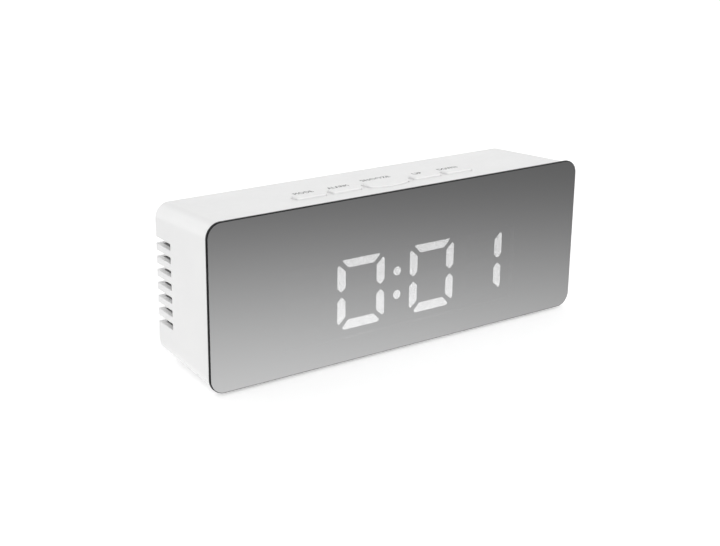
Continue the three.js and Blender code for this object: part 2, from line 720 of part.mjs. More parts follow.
// The flat ribbon bends in one plane: a strip of constant thickness along a curve in Y and Z.
function ribbon() {
  const path = new THREE.CatmullRomCurve3(
    [
      [0, 20.5, KEY_BOARD.low - GAP],
      [0, 20.9, 14.6],
      [0, 20.2, 12],
      [0, 17.8, 10.4],
      [0, MAIN_BOARD.back + GAP, 10],
    ].map((point) => new THREE.Vector3(...point)),
  );
  const half = 0.4;
  const points = path.getSpacedPoints(20);
  const sideOf = (sign) =>
    points.map((point, i) => {
      const tangent = path.getTangentAt(i / 20);
      return [point.y - sign * tangent.z * half, point.z + sign * tangent.y * half];
    });
  const outline = [...sideOf(-1), ...sideOf(1).reverse()];
  const strip = new THREE.ExtrudeGeometry(shapeOf(outline), { depth: 9, bevelEnabled: false });
  // The outline is drawn in Y and Z, so its drawing axes are turned onto them.
  const turn = new THREE.Matrix4().makeBasis(
    new THREE.Vector3(0, 1, 0),
    new THREE.Vector3(0, 0, 1),
    new THREE.Vector3(1, 0, 0),
  );
  return solidOf(strip.applyMatrix4(turn).translate(2, 0, 0));
}

const solder = MAIN_BOARD.back + GAP + 0.1;
const tabEnd = BAY.floor - BAY.wall - 3 - GAP - 0.2;
const terminalX = plateFace + CONTACT.thick / 2;
const WIRES = [
  {
    name: "battery_lead_red",
    material: MATERIAL.red,
    route: [
      [-terminalX, tabEnd, CELL.pitch],
      [-terminalX - 0.5, tabEnd - 1.6, CELL.pitch - 0.5],
      [-terminalX - 3.5, 17.6, 8],
      [-terminalX - 5, 16.6, 2],
      [-terminalX - 3.5, 15.9, -2],
      [-terminalX - 3, solder, -3],
    ],
  },
  {
    name: "battery_lead_black",
    material: MATERIAL.black,
    route: [
      [terminalX, tabEnd, -CELL.pitch],
      [terminalX + 0.4, tabEnd - 1.6, -CELL.pitch + 0.4],
      [terminalX + 2.4, 17.6, -8.5],
      [terminalX + 3.5, 16.6, -3],
      [terminalX + 2.5, 15.9, 1],
      [terminalX + 2, solder, 2],
    ],
  },
  {
    name: "power_lead",
    material: MATERIAL.grey,
    route: [
      [JACK.x, POWER_BOARD.front - GAP, powerBoardTop - 0.5],
      [JACK.x, POWER_BOARD.front - 2.4, powerBoardTop - 0.2],
      [JACK.x - 1.5, 19.6, -13.5],
      [JACK.x - 3.2, 17.4, -8],
      [JACK.x - 4, 15.9, -4.4],
      [JACK.x - 4, solder, -3.6],
    ],
  },
];

// ---- Feet: each pad's top follows the sloping underside ---------------------------------------

function foot(x, y) {
  const underside = (depth) => -HALF_HEIGHT + caseInset(depth) - 0.1;
  const pad = rod("z", [x, y], FOOT.radius, GROUND, underside(y) + 2, 20);
  const { radius } = FOOT;
  const [front, back] = [y - radius - 1, y + radius + 1];
  const outline = [
    [front, underside(front)],
    [back, underside(back)],
    [back, underside(back) + 6],
    [front, underside(front) + 6],
  ];
  const ends = [x - radius - 1, x + radius + 1];
  const corners = ends.map((end) => outline.map(([a, b]) => [end, a, b]));
  const [left, right] = corners;
  const wedge = loftAlongX(left, right);
  return pad.subtract(wedge);
}

// A prism between two matching four-cornered faces, the first one at the lower X.
function loftAlongX(left, right) {
  const quads = [
    [left[0], left[3], left[2], left[1]],
    [right[0], right[1], right[2], right[3]],
    ...[0, 1, 2, 3].map((i) => [left[i], left[(i + 1) % 4], right[(i + 1) % 4], right[i]]),
  ];
  const triangles = quads.flatMap(([a, b, c, d]) => [...a, ...b, ...c, ...a, ...c, ...d]);
  const geometry = new THREE.BufferGeometry();
  geometry.setAttribute("position", new THREE.Float32BufferAttribute(triangles, 3));
  return solidOf(geometry);
}

// ---- Assembly ---------------------------------------------------------------------------------

add("housing", housing(), MATERIAL.white);
add("mirror_panel", mirrorPanel(), MATERIAL.mirror);
add("mirror_tape", mirrorTape(), MATERIAL.black);
add("front_frame", frontFrame(), MATERIAL.black);

const filmShape = roundedShape(REFLECTOR.halfWidth, REFLECTOR.halfHeight, 0.8, 0, DISPLAY.z);
add("display_film", slab(filmShape, FILM.front, FILM.front + FILM.thick), MATERIAL.film);
add("segment_reflector", reflector(), MATERIAL.black);
DIGITS.forEach((digit) => add(`light_guide_${digit.name}`, lightGuide(digit), MATERIAL.guide));
add("light_guide_colon", colonGuide(), MATERIAL.guide);
add("main_board", mainBoard(), MATERIAL.board);

const onBoard = MAIN_BOARD.back + 0.2;
add("controller_chip", box([-12, onBoard, -9], [6, onBoard + 2.4, -1.5]), MATERIAL.black);
add("crystal", rod("z", [16, onBoard + 1.6], 1.5, -8, 0, 16), MATERIAL.steel);
add("filter_capacitor", rod("y", [24, -18], 3.2, onBoard, onBoard + 7.5), MATERIAL.black);
add("buzzer", buzzer(), MATERIAL.black);

BUTTON_ROW.forEach((button) => {
  add(`${button.name}_button`, buttonCap(button), MATERIAL.white);
  add(`${button.name}_plunger`, plunger(button), MATERIAL.black);
  add(`${button.name}_switch`, switchBody(button), MATERIAL.steel);
});
add("key_board", keyBoard(), MATERIAL.board);

cellRows.forEach((row) => add(row.name, cell(row), MATERIAL.jacket));
const { pitch } = CELL;
const positive = contactPlate(-1, pitch, pitch).add(terminalTab(-1, pitch));
const negative = joined([
  contactPlate(1, -pitch, -pitch),
  terminalTab(1, -pitch),
  contactSpring(1, -pitch),
]);
add("terminal_positive", positive, MATERIAL.steel);
add("terminal_negative", negative, MATERIAL.steel);
add("bridge_left", contactPlate(-1, -pitch, 0).add(contactSpring(-1, 0)), MATERIAL.steel);
add("bridge_right", contactPlate(1, 0, pitch).add(contactSpring(1, pitch)), MATERIAL.steel);
add("battery_door", batteryDoor(), MATERIAL.white);

add("power_board", powerBoard(), MATERIAL.board);
add("jack_shell", jackShell(), MATERIAL.steel);
add("jack_tongue", jackTongue(), MATERIAL.black);
WIRES.forEach(({ name, route, material }) => add(name, tube(route, 0.7, 14, 6), material));
add("key_ribbon", ribbon(), MATERIAL.grey);

screwCorners.forEach((at, i) => {
  add(`case_screw_${i + 1}`, screw("y", at, CASE_SCREW.seat, -1, CASE_SCREW), MATERIAL.steel);
});
keyScrews.forEach((at, i) => {
  const seat = KEY_BOARD.low - 0.1;
  add(`key_board_screw_${i + 1}`, screw("z", at, seat, 1, SMALL_SCREW), MATERIAL.steel);
});
powerScrews.forEach((at, i) => {
  const seat = powerBoardTop + 0.1;
  add(`power_board_screw_${i + 1}`, screw("z", at, seat, -1, SMALL_SCREW), MATERIAL.steel);
});

const FEET = [
  ["front_left", -FOOT.x, FOOT.frontY],
  ["front_right", FOOT.x, FOOT.frontY],
  ["back_left", -FOOT.x, FOOT.backY],
  ["back_right", FOOT.x, FOOT.backY],
];
FEET.forEach(([name, x, y]) => add(`foot_${name}`, foot(x, y), MATERIAL.rubber));

export default clock;
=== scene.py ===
"""A desk alarm clock with a half-mirror front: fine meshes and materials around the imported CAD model.

Shapes are drawn in millimetres from the centre of the mirror's front face: X to the right, Y from the
mirror to the back, Z up. place() turns them into the row frame in metres.
"""

import math

import bmesh
import bpy
from mathutils import Matrix, Vector

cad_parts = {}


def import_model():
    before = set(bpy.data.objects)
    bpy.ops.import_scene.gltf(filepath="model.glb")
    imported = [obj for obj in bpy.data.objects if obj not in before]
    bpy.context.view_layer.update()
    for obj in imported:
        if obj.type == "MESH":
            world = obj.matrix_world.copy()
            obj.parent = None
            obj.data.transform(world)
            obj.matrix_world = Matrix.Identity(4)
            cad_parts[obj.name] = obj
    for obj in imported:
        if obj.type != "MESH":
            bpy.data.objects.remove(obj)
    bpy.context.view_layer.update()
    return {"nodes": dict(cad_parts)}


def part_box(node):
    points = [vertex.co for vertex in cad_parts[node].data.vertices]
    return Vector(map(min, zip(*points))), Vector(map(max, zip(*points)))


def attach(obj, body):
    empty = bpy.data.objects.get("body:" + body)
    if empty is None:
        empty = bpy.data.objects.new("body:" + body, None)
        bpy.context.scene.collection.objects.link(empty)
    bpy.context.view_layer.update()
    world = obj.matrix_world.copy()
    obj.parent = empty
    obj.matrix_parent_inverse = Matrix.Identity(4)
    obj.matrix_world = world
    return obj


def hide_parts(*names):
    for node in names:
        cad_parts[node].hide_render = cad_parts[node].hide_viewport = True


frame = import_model()

# ---- Sizes, in millimetres ---------------------------------------------------------------------

panel_low, panel_high = (corner * 1000 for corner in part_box("mirror_panel"))
shell_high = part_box("housing")[1] * 1000
FRONT = panel_low.y  # the mirror's front face, in the row frame
LIFT = (panel_low.z + panel_high.z) / 2  # the mirror's centre height, in the row frame
HALF_WIDTH = (panel_high.x - panel_low.x) / 2
HALF_HEIGHT = (panel_high.z - panel_low.z) / 2
PANEL_THICK = panel_high.y - panel_low.y
DEPTH = shell_high.y - FRONT  # mirror's front face to the housing's back face
GROUND = -LIFT

PANEL_RADIUS = 5.3
PANEL_CHAMFER = 0.25
SHELL_FRONT = PANEL_THICK + 0.06  # the case's lip, just behind the mirror
SHELL_WALL = 2.0
SHELL_RADIUS = 5.1
SHELL_BACK_ROUND = 0.9
FRONT_INSET, BACK_INSET = 0.5, 2.3

VENT_COUNT, VENT_PITCH, VENT_HEIGHT = 7, 4.68, 2.3
VENT_START, VENT_BACK_REACH = 27.9, 11.0
VENT_CORNER, VENT_RIM = 0.45, 0.22

BUTTON_LINE = 13.75
BUTTON_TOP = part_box("mode_button")[1].z * 1000 - LIFT
BUTTON_WIDTH, BUTTON_DEPTH, BUTTON_GAP = 12.0, 4.2, 0.2
SNOOZE_WIDTH, SNOOZE_DEPTH, SNOOZE_BULGE = 17.0, 5.2, 2.15
BUTTONS = {"mode": -32.4, "alarm": -17.7, "snooze": 0.0, "up": 17.7, "down": 32.4}
LABEL_HEIGHT = 2.4
LABELS = {  # word: (middle, depth, width)
    "MODE": (-30.6, 20.2, 7.7),
    "ALARM": (-16.2, 20.2, 8.6),
    "SNOOZE": (2.0, 22.7, 12.6),
    "UP": (19.2, 20.2, 3.9),
    "DOWN": (33.3, 20.2, 8.8),
}

DISPLAY_Z, DISPLAY_FACE = -6.8, 5.95
WINDOW_HALF_WIDTH, WINDOW_HALF_HEIGHT = 51.4, 14.4
GUIDE_BACK, GUIDE_EDGE, STROKE_CORNER = 10.9, 0.06, 0.42
DIGIT_HALF_WIDTH, DIGIT_HALF_HEIGHT, STROKE = 10.15, 13.0, 3.5
DIGITS = {"hours_tens": -39.07, "hours_units": -15.77, "minutes_tens": 15.77, "minutes_units": 39.07}
SHOWN = {"hours_tens": "", "hours_units": "abcdef", "minutes_tens": "abcdef", "minutes_units": "bc"}
COLON_RADIUS, COLON_OFFSET = 1.65, 4.4

BAY_HALF_WIDTH, BAY_HALF_HEIGHT, BAY_FLOOR, BAY_WALL = 26.5, 17.3, 25.6, 1.4
DOOR_HALF_WIDTH, DOOR_HALF_HEIGHT, DOOR_THICK, DOOR_RADIUS = 27.4, 18.2, 1.6, 1.5
DOOR_SEAT = DEPTH - DOOR_THICK - 0.3
HOOK_X, HOOK_HALF_WIDTH, HOOK_ROOM = 18.0, 3.0, 0.8
LATCH_HALF_WIDTH = 4.5
CELL_PITCH, CELL_DEPTH, CELL_RADIUS, CELL_LENGTH = 11.3, 31.2, 5.25, 44.5
PLATE_THICK, PLATE_HALF, PLATE_GAP = 0.5, 4.5, 0.2  # battery contacts, and their gap to the bay's end
PLATE_FACE = BAY_HALF_WIDTH - PLATE_GAP - PLATE_THICK
PLUS_END = PLATE_FACE - 0.3  # a cell's plus end, measured from the middle
CASE_SCREW_X, CASE_SCREW_Z, CASE_SCREW_SEAT = 68.0, 20.0, 36.9
SCREW_WELL_RADIUS = 2.9
JACK_X, JACK_Z = 50.0, -14.75
JACK_HALF_WIDTH, JACK_HALF_HEIGHT, JACK_WALL, JACK_FRONT, JACK_BACK = 3.8, 1.45, 0.3, 31.6, 37.2


def place(point):
    """A point in the drawing's millimetres as a point in the row frame, in metres."""
    x, y, z = point
    return Vector((x, y + FRONT, z + LIFT)) * 0.001


def case_inset(y):
    """How far the tapered case stands in from the mirror's outline at a depth."""
    return FRONT_INSET + (BACK_INSET - FRONT_INSET) * (y - SHELL_FRONT) / (DEPTH - SHELL_FRONT)


# ---- Mesh tools --------------------------------------------------------------------------------


def rounded(half_u, half_v, radius, steps=10, at=(0.0, 0.0)):
    """A rounded rectangle's points, counter-clockwise."""
    points = []
    corners = ((1, 1), (-1, 1), (-1, -1), (1, -1))
    for corner, (su, sv) in enumerate(corners):
        for step in range(steps + 1):
            angle = (corner + step / steps) * math.pi / 2
            u = su * (half_u - radius) + radius * math.cos(angle)
            v = sv * (half_v - radius) + radius * math.sin(angle)
            points.append((u + at[0], v + at[1]))
    return points


def circle(radius, sides=32, at=(0.0, 0.0)):
    turns = [2 * math.pi * i / sides for i in range(sides)]
    return [(at[0] + radius * math.cos(a), at[1] + radius * math.sin(a)) for a in turns]


def loft(rings, into=None):
    """A closed body through rings of equally many points, capped at both ends."""
    body = into or bmesh.new()
    made = [[body.verts.new(place(point)) for point in ring] for ring in rings]
    faces = [body.faces.new(made[0]), body.faces.new(made[-1])]
    count = len(made[0])
    for near, far in zip(made, made[1:]):
        for j in range(count):
            k = (j + 1) % count
            faces.append(body.faces.new((near[j], near[k], far[k], far[j])))
    bmesh.ops.recalc_face_normals(body, faces=faces)
    return body


def fillet(radius, steps=3):
    """(how far a round edge has risen, how far it has drawn in) along a quarter circle."""
    turns = [math.pi / 2 * i / steps for i in range(steps + 1)]
    return [(radius * math.sin(a), radius * (1 - math.cos(a))) for a in turns]


def slab(outline, low, high, edge, surface, edge_low=None):
    """A raised shape with round edges. outline(inward) gives its points, and surface(u, v, height)
    puts them in space."""
    edge_low = edge if edge_low is None else edge_low
    rings = [(low + edge_low - rise, draw) for rise, draw in reversed(fillet(edge_low))]
    rings += [(high - edge + rise, draw) for rise, draw in fillet(edge)]
    return loft([[surface(u, v, h) for u, v in outline(draw)] for h, draw in rings])


def mouth(outline, deep, edge, surface, into=None):
    """A cutter for an opening whose rim is rounded where it meets the surface."""
    rings = [(-deep, 0.0)] + [(rise - edge, -draw) for rise, draw in fillet(edge)]
    rings.append((1.0, -edge))
    return loft([[surface(u, v, h) for u, v in outline(draw)] for h, draw in rings], into)


def on_back(u, v, height):
    return (u, DEPTH + height, v)


def on_top(u, v, height):
    return (u, v, HALF_HEIGHT - case_inset(v) + height)


def upright(u, v, height):
    return (u, v, height)


def along_depth(u, v, depth):
    """An outline seen from the front, carried along the depth."""
    return (u, depth, v)


def along_width(u, v, x):
    """A section of depth and height, carried across the width."""
    return (x, u, v)


def facing_front(u, v, height):
    """Height here runs towards the reader, from depth 0."""
    return (u, -height, v)


def lathe(profile, surface, sides=32, into=None):
    """A turned body: profile is (height, radius) pairs from one end to the other."""
    return loft([[surface(u, v, h) for u, v in circle(r, sides)] for h, r in profile], into)


def prism(outline, low, high, surface, into=None):
    return loft([[surface(u, v, h) for u, v in outline] for h in (low, high)], into)


def tube(points, radius, sides=10, into=None):
    """A round wire along points, whose section keeps square to the path without twisting."""
    path = [Vector(p) for p in points]
    ends = zip([path[0], *path], [*path[1:], path[-1]])
    tangents = [(after - before).normalized() for before, after in ends]
    side = tangents[0].orthogonal().normalized()
    rings = []
    for point, tangent in zip(path, tangents):
        side = (side - tangent * side.dot(tangent)).normalized()
        other = tangent.cross(side)
        turns = [2 * math.pi * i / sides for i in range(sides)]
        rings.append([point + radius * (side * math.cos(a) + other * math.sin(a)) for a in turns])
    return loft(rings, into)


def mark_sharp(body, degrees):
    for edge in body.edges:
        edge.smooth = len(edge.link_faces) == 2 and edge.calc_face_angle(0) < math.radians(degrees)
    for face in body.faces:
        face.smooth = True


def piece(name, body, rides="case", material=None, replaces=(), sharp=35, cuts=()):
    """Makes a mesh object of a body, cuts it, and ties it to its CAD body and nodes."""
    mesh = bpy.data.meshes.new(name)
    body.to_mesh(mesh)
    body.free()
    obj = bpy.data.objects.new(name, mesh)
    bpy.context.scene.collection.objects.link(obj)
    for cutter in cuts:
        carve(obj, cutter)
    fine = bmesh.new()
    fine.from_mesh(obj.data)
    mark_sharp(fine, sharp)
    fine.to_mesh(obj.data)
    fine.free()
    for one in material if isinstance(material, (list, tuple)) else [material]:
        obj.data.materials.append(one)
    evened = obj.modifiers.new("even_normals", "WEIGHTED_NORMAL")
    evened.keep_sharp = True
    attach(obj, rides)
    if replaces:
        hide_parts(*replaces)
    return obj


def carve(obj, cutter):
    """Takes a cutter's bodies, which don't touch each other, out of an object."""
    mesh = bpy.data.meshes.new("cutter")
    cutter.to_mesh(mesh)
    cutter.free()
    tool = bpy.data.objects.new("cutter", mesh)
    bpy.context.scene.collection.objects.link(tool)
    modifier = obj.modifiers.new("cut", "BOOLEAN")
    modifier.operation = "DIFFERENCE"
    modifier.solver = "EXACT"
    modifier.object = tool
    graph = bpy.context.evaluated_depsgraph_get()
    cut = bpy.data.meshes.new_from_object(obj.evaluated_get(graph))
    obj.modifiers.clear()
    obj.data = cut
    bpy.data.objects.remove(tool)


# ---- Materials ---------------------------------------------------------------------------------


class Shader:
    """A Principled material with small helpers for its procedural inputs."""

    def __init__(self, name, color=(0.8, 0.8, 0.8), roughness=0.5, metallic=0.0, **sockets):
        self.material = bpy.data.materials.new(name)
        self.material.use_nodes = True
        self.nodes = self.material.node_tree.nodes
        self.links = self.material.node_tree.links
        self.shader = self.nodes["Principled BSDF"]
        self.shader.inputs["Base Color"].default_value = (*color, 1)
        self.shader.inputs["Roughness"].default_value = roughness
        self.shader.inputs["Metallic"].default_value = metallic
        for socket, value in sockets.items():
            self.shader.inputs[socket.replace("_", " ")].default_value = value
        self.coords = self.nodes.new("ShaderNodeTexCoord").outputs["Object"]

    def node(self, kind, **inputs):
        made = self.nodes.new(kind)
        for name, value in inputs.items():
            socket = made.inputs[name.replace("_", " ")]
            if isinstance(value, bpy.types.NodeSocket):
                self.links.new(value, socket)
            else:
                socket.default_value = value
        return made

    def noise(self, scale, detail=2.0, roughness=0.5, stretch=None):
        coords = self.coords
        if stretch:
            coords = self.node("ShaderNodeMapping", Vector=coords, Scale=stretch).outputs["Vector"]
        made = self.node("ShaderNodeTexNoise", Vector=coords, Scale=scale, Detail=detail,
                         Roughness=roughness)
        return made.outputs["Fac"]

    def between(self, value, low, high, start=0.3, end=0.7):
        """Maps a 0 to 1 pattern onto a range of values."""
        kind = "ShaderNodeMapRange"
        made = self.node(kind, Value=value, From_Min=start, From_Max=end, To_Min=low, To_Max=high)
        return made.outputs["Result"]

    def ramp(self, value, stops, constant=False):
        made = self.nodes.new("ShaderNodeValToRGB")
        made.color_ramp.interpolation = "CONSTANT" if constant else "LINEAR"
        elements = made.color_ramp.elements
        while len(elements) < len(stops):
            elements.new(1.0)
        for element, (position, color) in zip(elements, stops):
            element.position = position
            element.color = (*color, 1)
        self.links.new(value, made.inputs["Fac"])
        return made.outputs["Color"]

    def color(self, output):
        self.links.new(output, self.shader.inputs["Base Color"])

    def roughness(self, output):
        self.links.new(output, self.shader.inputs["Roughness"])

    def bump(self, output, strength, distance):
        made = self.node("ShaderNodeBump", Height=output, Strength=strength, Distance=distance)
        self.links.new(made.outputs["Normal"], self.shader.inputs["Normal"])


def moulded(name, color, roughness, spread=0.012, grain=5200, depth=0.000012, warm=(1.0, 0.999, 0.996)):
    """Injection-moulded plastic: a fine spark-eroded grain, and a faint mottle in tint and gloss."""
    m = Shader(name, color, roughness)
    low = tuple(c - spread for c in color)
    high = tuple(min(1.0, (c + spread)) * w for c, w in zip(color, warm))
    m.color(m.ramp(m.noise(38, 4), [(0.35, low), (0.65, high)]))
    m.roughness(m.between(m.noise(420, 3), roughness - 0.05, roughness + 0.06))
    m.bump(m.noise(grain, 3, 0.6), 0.35, depth)
    return m.material


def half_mirror():
    """The coated front face: mostly mirror, with the lit display showing through."""
    m = Shader("half_mirror", (0.87, 0.87, 0.87), 0.02, 1.0, Alpha=0.72)
    m.roughness(m.between(m.noise(26, 5, 0.65), 0.012, 0.035))
    m.color(m.ramp(m.noise(9, 2), [(0.3, (0.865, 0.867, 0.87)), (0.7, (0.875, 0.877, 0.88))]))
    return m.material


def clear_back():
    """The back of the glass over the display, which the paint leaves clear."""
    m = Shader("clear_back", (0.02, 0.02, 0.022), 0.08, Alpha=0.15)
    m.roughness(m.between(m.noise(40, 3), 0.06, 0.12))
    return m.material


def black_edge():
    """The panel's painted edge and border: dull black, with a slightly uneven coat."""
    m = Shader("black_edge", (0.006, 0.006, 0.007), 0.4, Specular_IOR_Level=0.15)
    m.color(m.ramp(m.noise(300, 3), [(0.3, (0.004, 0.004, 0.005)), (0.7, (0.01, 0.01, 0.011))]))
    m.roughness(m.between(m.noise(900, 2), 0.34, 0.5))
    return m.material


def smoke_film():
    m = Shader("smoke_film", (0.012, 0.012, 0.013), 0.3, Alpha=0.15)
    m.roughness(m.between(m.noise(1500, 2), 0.25, 0.38))
    m.bump(m.noise(3000, 2), 0.2, 0.00001)
    return m.material


def lit_stroke():
    """Milky plastic, lit from behind, whose glow varies faintly along a stroke."""
    m = Shader("lit_stroke", (0.9, 0.9, 0.9), 0.4, Emission_Strength=2.45)
    glow = m.ramp(m.noise(60, 1), [(0.3, (0.96, 0.965, 0.97)), (0.7, (1.0, 1.0, 1.0))])
    m.links.new(glow, m.shader.inputs["Emission Color"])
    m.color(m.ramp(m.noise(500, 2), [(0.3, (0.86, 0.86, 0.86)), (0.7, (0.92, 0.92, 0.92))]))
    return m.material


def unlit_stroke():
    m = Shader("unlit_stroke", (0.05, 0.05, 0.05), 0.45)
    m.color(m.ramp(m.noise(500, 2), [(0.3, (0.045, 0.045, 0.045)), (0.7, (0.06, 0.06, 0.06))]))
    m.bump(m.noise(2500, 2), 0.2, 0.00001)
    return m.material


def metal(name, color, roughness, grain=(1.0, 1.0, 1.0), scale=900, depth=0.000006):
    """Plated or drawn metal, with its marks running along one axis."""
    m = Shader(name, color, roughness, 1.0)
    streaks = m.noise(scale, 4, 0.6, grain)
    dark = tuple(c * 0.86 for c in color)
    m.color(m.ramp(streaks, [(0.3, dark), (0.7, color)]))
    m.roughness(m.between(streaks, roughness - 0.08, roughness + 0.1))
    m.bump(streaks, 0.25, depth)
    return m.material


def circuit_board():
    """Solder mask over copper: lighter tracks, and dull tinned dots."""
    m = Shader("circuit_board", (0.02, 0.12, 0.05), 0.35)
    bricks = m.node("ShaderNodeTexBrick", Vector=m.coords, Scale=160.0, Mortar_Size=0.02)
    bricks.inputs["Color1"].default_value = (0.012, 0.085, 0.035, 1)
    bricks.inputs["Color2"].default_value = (0.016, 0.11, 0.045, 1)
    bricks.inputs["Mortar"].default_value = (0.05, 0.21, 0.09, 1)
    dots = m.node("ShaderNodeTexVoronoi", Vector=m.coords, Scale=420.0).outputs["Distance"]
    mix = m.node("ShaderNodeMix")
    mix.data_type = "RGBA"
    m.links.new(m.between(dots, 1.0, 0.0, 0.12, 0.16), mix.inputs["Factor"])
    m.links.new(bricks.outputs["Color"], mix.inputs["A"])
    mix.inputs["B"].default_value = (0.55, 0.53, 0.48, 1)
    m.color(mix.outputs["Result"])
    m.roughness(m.between(m.noise(200, 2), 0.28, 0.42))
    m.bump(bricks.outputs["Fac"], 0.3, 0.00003)
    return m.material


def battery_jacket(name, plus):
    """A plain foil jacket: blue, a pale grey band at the plus end and bare steel past its rims."""
    m = Shader(name, (0.2, 0.33, 0.5), 0.28, 0.85)
    x = m.node("ShaderNodeSeparateXYZ", Vector=m.coords).outputs["X"]
    half = CELL_LENGTH / 2000
    middle = plus * (PLUS_END - CELL_LENGTH / 2) / 1000
    share = m.between(x, 0.0, 1.0, middle - plus * half, middle + plus * half)
    steel, blue, pale_grey = (0.62, 0.62, 0.6), (0.04, 0.1, 0.22), (0.5, 0.53, 0.56)
    stops = [(0.0, steel), (0.02, blue), (0.69, (0.6, 0.6, 0.6)), (0.70, pale_grey), (0.965, steel)]
    m.color(m.ramp(share, stops, constant=True))
    m.roughness(m.between(m.noise(600, 3), 0.2, 0.36))
    m.bump(m.noise(1400, 2), 0.15, 0.00001)
    return m.material


def printed_ink():
    m = Shader("printed_ink", (0.07, 0.07, 0.073), 0.6)
    m.color(m.ramp(m.noise(2600, 3), [(0.3, (0.06, 0.06, 0.062)), (0.7, (0.09, 0.09, 0.092))]))
    return m.material


def rubber(name, color, roughness=0.8):
    m = Shader(name, color, roughness)
    m.color(m.ramp(m.noise(700, 4), [(0.3, tuple(c * 0.8 for c in color)), (0.7, color)]))
    m.roughness(m.between(m.noise(1800, 3), roughness - 0.08, roughness + 0.08))
    m.bump(m.noise(4000, 3), 0.4, 0.00002)
    return m.material


WHITE = moulded("white_case", (0.805, 0.805, 0.805), 0.36)
BUTTON_WHITE = moulded("white_button", (0.805, 0.805, 0.805), 0.36, grain=6500, depth=0.000008)
BLACK = moulded("black_frame", (0.008, 0.008, 0.0085), 0.6, 0.002)
DARK = moulded("black_component", (0.022, 0.022, 0.024), 0.45, 0.006)
STEEL = metal("plated_steel", (0.66, 0.67, 0.68), 0.3)
SCREW = metal("zinc_screw", (0.60, 0.61, 0.63), 0.32, scale=2400)
SPRING = metal("nickel_spring", (0.70, 0.68, 0.63), 0.24, scale=1600)
EDGE = black_edge()
INK = printed_ink()
FOOT = rubber("foot_rubber", (0.045, 0.045, 0.047))
JACKETS = {1: battery_jacket("jacket_right", 1), -1: battery_jacket("jacket_left", -1)}

# ---- Case --------------------------------------------------------------------------------------


def case_ring(y, inward=0.0):
    inset = case_inset(y) + inward
    radius = max(SHELL_RADIUS - inward, 1.2)
    return [(u, y, v) for u, v in rounded(HALF_WIDTH - inset, HALF_HEIGHT - inset, radius, 14)]


def case_shell():
    """Tapered walls and back in one body, open at the front."""
    inside = [case_ring(DEPTH - SHELL_WALL, SHELL_WALL), case_ring(SHELL_FRONT, SHELL_WALL)]
    lip = [case_ring(SHELL_FRONT, 0.25), case_ring(SHELL_FRONT + 0.08, 0.08), case_ring(SHELL_FRONT + 0.25)]
    start = DEPTH - SHELL_BACK_ROUND
    back = [case_ring(start + rise, draw) for rise, draw in fillet(SHELL_BACK_ROUND, 8)]
    return loft([*inside, *lip, *back])


def vent_rows():
    return [(row - (VENT_COUNT - 1) / 2) * VENT_PITCH for row in range(VENT_COUNT)]


def vent_mouths(middle, reach, surface, cutter):
    """One slot with a rounded rim in each row, on one stretch of wall."""
    for z in vent_rows():
        def outline(draw, z=z):
            return rounded(reach - draw, VENT_HEIGHT / 2 - draw, VENT_CORNER, 4, (middle, z))

        mouth(outline, SHELL_WALL + 0.6, VENT_RIM, surface, cutter)


def side_vents():
    """The part of each slot that runs along a side wall, open at the back corner."""
    cutter = bmesh.new()
    reach = (DEPTH + 2 - VENT_START) / 2
    for side in (-1, 1):
        def on_side(u, v, height, side=side):
            return (side * (HALF_WIDTH - case_inset(u) + height), u, v)

        vent_mouths(VENT_START + reach, reach, on_side, cutter)
    return cutter


def back_vents():
    """The part of each slot that runs along the back wall from a corner."""
    cutter = bmesh.new()
    reach = (VENT_BACK_REACH + 2) / 2
    for side in (-1, 1):
        middle = side * (HALF_WIDTH - BACK_INSET - VENT_BACK_REACH + reach)
        vent_mouths(middle, reach, on_back, cutter)
    return cutter


def button_outline(name, inward=0.0, corner=0.9):
    """A button's plan: straight ends, and for the snooze button long sides that bow out."""
    snooze = name == "snooze"
    half_width = (SNOOZE_WIDTH if snooze else BUTTON_WIDTH) / 2 - inward
    half_depth = (SNOOZE_DEPTH if snooze else BUTTON_DEPTH) / 2 - inward
    points = rounded(half_width, half_depth, max(corner - inward / 2, 0.25), 6)
    if snooze:
        points = with_long_sides_split(points, half_width, 24)
        points = [(u, v + math.copysign(SNOOZE_BULGE * (1 - (u / half_width) ** 2), v))
                  for u, v in points]
    return [(u + BUTTONS[name], v + BUTTON_LINE) for u, v in points]


def with_long_sides_split(points, long, parts):
    split = []
    for (u0, v0), (u1, v1) in zip(points, points[1:] + points[:1]):
        count = parts if abs(u1 - u0) > long else 1
        split += [(u0 + (u1 - u0) * i / count, v0 + (v1 - v0) * i / count) for i in range(count)]
    return split


def button_holes():
    cutter = bmesh.new()
    for name in BUTTONS:
        def outline(draw, name=name):
            return button_outline(name, draw - BUTTON_GAP, 0.25)

        mouth(outline, SHELL_WALL + 1.2, 0.12, on_top, cutter)
    return cutter


def door_outline(inward=0.0):
    return rounded(DOOR_HALF_WIDTH - inward, DOOR_HALF_HEIGHT - inward, DOOR_RADIUS, 6)


def box_points(low_u, high_u, low_v, high_v):
    return [(low_u, low_v), (high_u, low_v), (high_u, high_v), (low_u, high_v)]


def bay_outline():
    return rounded(BAY_HALF_WIDTH, BAY_HALF_HEIGHT, 0.5, 3)


def jack_outline(half_u, half_v, corner, steps):
    return rounded(half_u, half_v, corner, steps, (JACK_X, JACK_Z))


def latch_room(draw=0.0):
    """The pocket that the door's latch sits in, seen from the back."""
    return rounded(5.3 - draw, 3.6 - draw, 0.5, 4, (0, 18.4))


